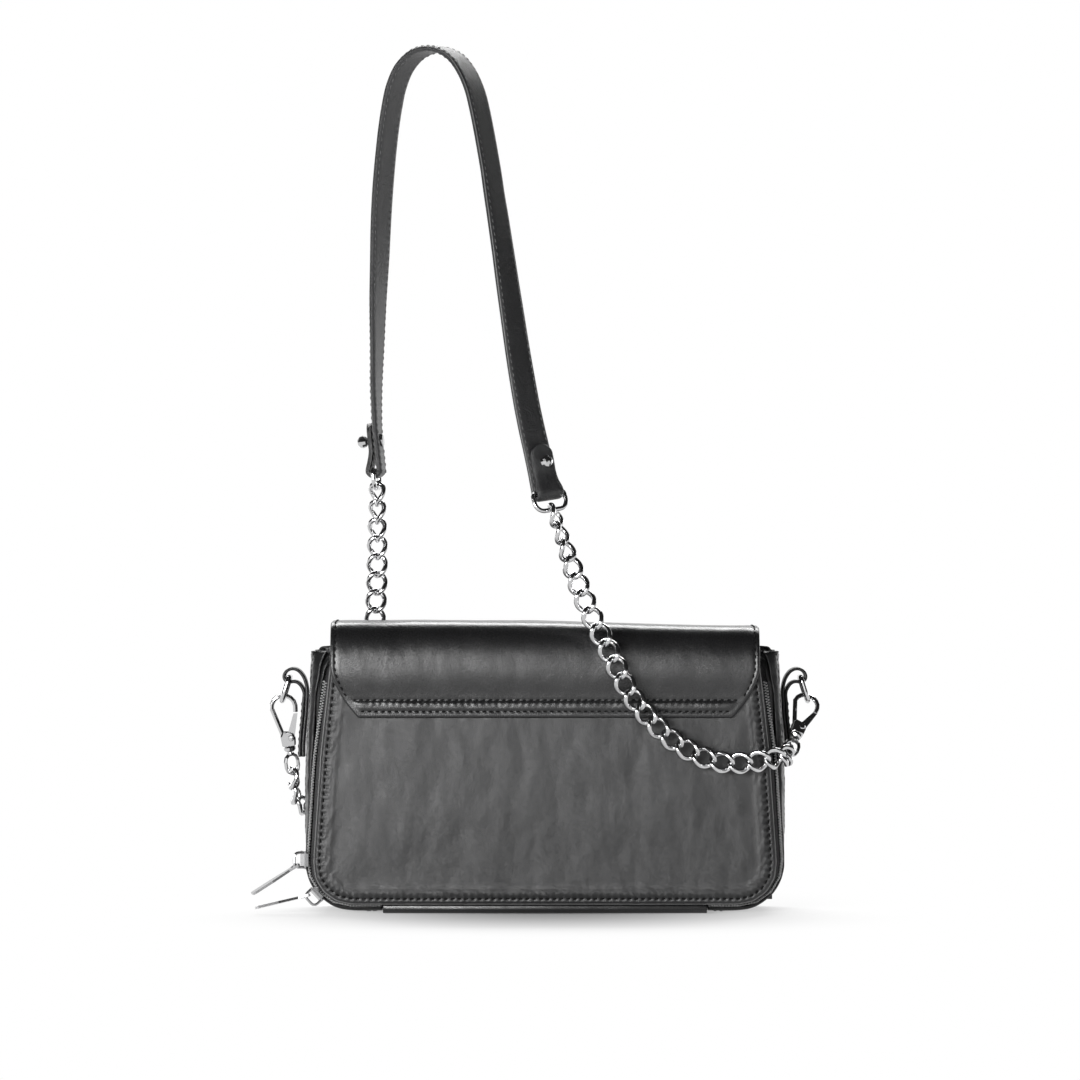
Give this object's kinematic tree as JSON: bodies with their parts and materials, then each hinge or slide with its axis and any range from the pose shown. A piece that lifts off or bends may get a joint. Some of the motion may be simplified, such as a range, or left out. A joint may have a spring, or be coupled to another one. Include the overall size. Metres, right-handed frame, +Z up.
{
  "type": "shoulder purse",
  "caption": "Structured shoulder purse with a fold-over flap, a zipped rear compartment and a strap with curb-chain ends on snap hooks.",
  "frame": {"origin": "on the ground, at the middle of the bag's length, a little forward of the middle of its base", "axes": "+X to the bag's right seen from behind, +Y towards the flap's front, +Z up"},
  "size_m": [0.2868, 0.0993, 0.4368],
  "materials": {
    "leather": "fine-grained black leather, soft sheen",
    "lining": "woven black lining",
    "tape": "woven black zip tape",
    "coil": "moulded black teeth",
    "steel": "polished silver-coloured plating"
  },
  "bodies": {
    "body": {"front_panel": "leather", "side_wall_left": "leather", "side_wall_right": "leather", "base_panel": "leather", "bottom_spine": "leather", "divider": "lining", "main_lining": "lining", "slip_pocket": "lining", "card_pocket": "lining", "zip_tape_front": "tape", "zip_coil_front": "coil", "tab_left": "leather", "tab_right": "leather"},
    "rear_panel": {"back_panel": "leather", "zip_tape_rear": "tape", "zip_coil_rear": "coil", "flap_rear_end": "leather"},
    "flap": {"flap_cover": "leather"},
    "upper_slider": {"slider_upper": "steel"},
    "lower_slider": {"slider_lower": "steel"},
    "upper_pull": {"pull_upper": "steel"},
    "lower_pull": {"pull_lower": "steel"},
    "left_ring": {"side_ring_left": "steel"},
    "right_ring": {"side_ring_right": "steel"},
    "left_hook": {"hook_left": "steel", "gate_rivet_left": "steel"},
    "right_hook": {"hook_right": "steel", "gate_rivet_right": "steel"},
    "left_gate": {"gate_left": "steel"},
    "right_gate": {"gate_right": "steel"},
    "left_swivel": {"swivel_left": "steel"},
    "right_swivel": {"swivel_right": "steel"},
    "shoulder_strap": {"strap": "leather", "stud_left": "steel", "stud_right": "steel", "chain_left": "steel", "chain_right": "steel"},
    "left_strap_ring": {"strap_ring_left": "steel"},
    "right_strap_ring": {"strap_ring_right": "steel"}
  },
  "joints": [
    {"name": "rear_panel_hinge", "type": "hinge", "parent": "body", "child": "rear_panel", "pos_m": [0, -0.033, 0.0043], "axis": [1, 0, 0], "range_deg": [0, 75], "deforming": ["flap_cover"]},
    {"name": "flap_hinge", "type": "hinge", "parent": "rear_panel", "child": "flap", "pos_m": [0, -0.032, 0.1386], "axis": [1, 0, 0], "range_deg": [0, 120], "deforming": ["flap_cover"]},
    {"name": "upper_slider_run", "type": "slide", "parent": "body", "child": "upper_slider", "axis": [0.0599, 0, 0.9982], "range_m": [0, 0.036]},
    {"name": "lower_slider_run", "type": "hinge", "parent": "body", "child": "lower_slider", "pos_m": [-0.0988, -0.026, 0.0254], "axis": [0, -1, 0], "range_deg": [0, 25]},
    {"name": "upper_pull_swing", "type": "hinge", "parent": "upper_slider", "child": "upper_pull", "pos_m": [-0.12514, -0.02812, 0.02339], "axis": [0.4776, 0.1717, -0.8616], "range_deg": [-20, 8]},
    {"name": "lower_pull_swing", "type": "hinge", "parent": "lower_slider", "child": "lower_pull", "pos_m": [-0.11993, -0.02739, 0.00843], "axis": [0.2404, -0.1126, -0.9641], "range_deg": [-8, 20]},
    {"name": "left_ring_swing", "type": "hinge", "parent": "body", "child": "left_ring", "pos_m": [-0.12975, 0.008, 0.11732], "axis": [0, 1, 0], "range_deg": [0, 75]},
    {"name": "right_ring_swing", "type": "hinge", "parent": "body", "child": "right_ring", "pos_m": [0.12975, 0.008, 0.11732], "axis": [0, -1, 0], "range_deg": [0, 75]},
    {"name": "left_hook_swing", "type": "hinge", "parent": "left_ring", "child": "left_hook", "pos_m": [-0.13343, 0.008, 0.10527], "axis": [0, 1, 0], "range_deg": [0, 25]},
    {"name": "right_hook_swing", "type": "hinge", "parent": "right_ring", "child": "right_hook", "pos_m": [0.13343, 0.008, 0.10527], "axis": [0, -1, 0], "range_deg": [0, 25]},
    {"name": "left_gate_open", "type": "hinge", "parent": "left_hook", "child": "left_gate", "pos_m": [-0.12918, 0.01184, 0.08652], "axis": [0.0242, -0.9848, -0.172], "range_deg": [0, 22], "stiffness_Nm_per_rad": 0.05, "springref_deg": -11.46},
    {"name": "right_gate_open", "type": "hinge", "parent": "right_hook", "child": "right_gate", "pos_m": [0.12955, -0.00621, 0.09139], "axis": [0.2408, -0.766, 0.596], "range_deg": [0, 22], "stiffness_Nm_per_rad": 0.05, "springref_deg": -11.46},
    {"name": "left_swivel_turn", "type": "hinge", "parent": "left_hook", "child": "left_swivel", "pos_m": [-0.13016, 0.0126, 0.082], "axis": [-0.1371, -0.1736, 0.9752], "continuous": true},
    {"name": "right_swivel_turn", "type": "hinge", "parent": "right_hook", "child": "right_swivel", "pos_m": [0.1268, -0.00903, 0.08886], "axis": [0.287, 0.6428, 0.7103], "continuous": true},
    {"name": "strap_swing", "type": "hinge", "parent": "body", "child": "shoulder_strap", "pos_m": [0, 0.008, 0.1178], "axis": [1, 0, 0], "range_deg": [-70, 70], "deforming": ["chain_left", "chain_right"]},
    {"name": "left_strap_ring_swing", "type": "hinge", "parent": "shoulder_strap", "child": "left_strap_ring", "pos_m": [-0.0869, 0.03241, 0.22292], "axis": [0.1383, 0.9904, 0.0081], "range_deg": [-40, 40]},
    {"name": "right_strap_ring_swing", "type": "hinge", "parent": "shoulder_strap", "child": "right_strap_ring", "pos_m": [0.00128, -0.05013, 0.2109], "axis": [0.8822, 0.4481, 0.1444], "range_deg": [-40, 40]}
  ]
}
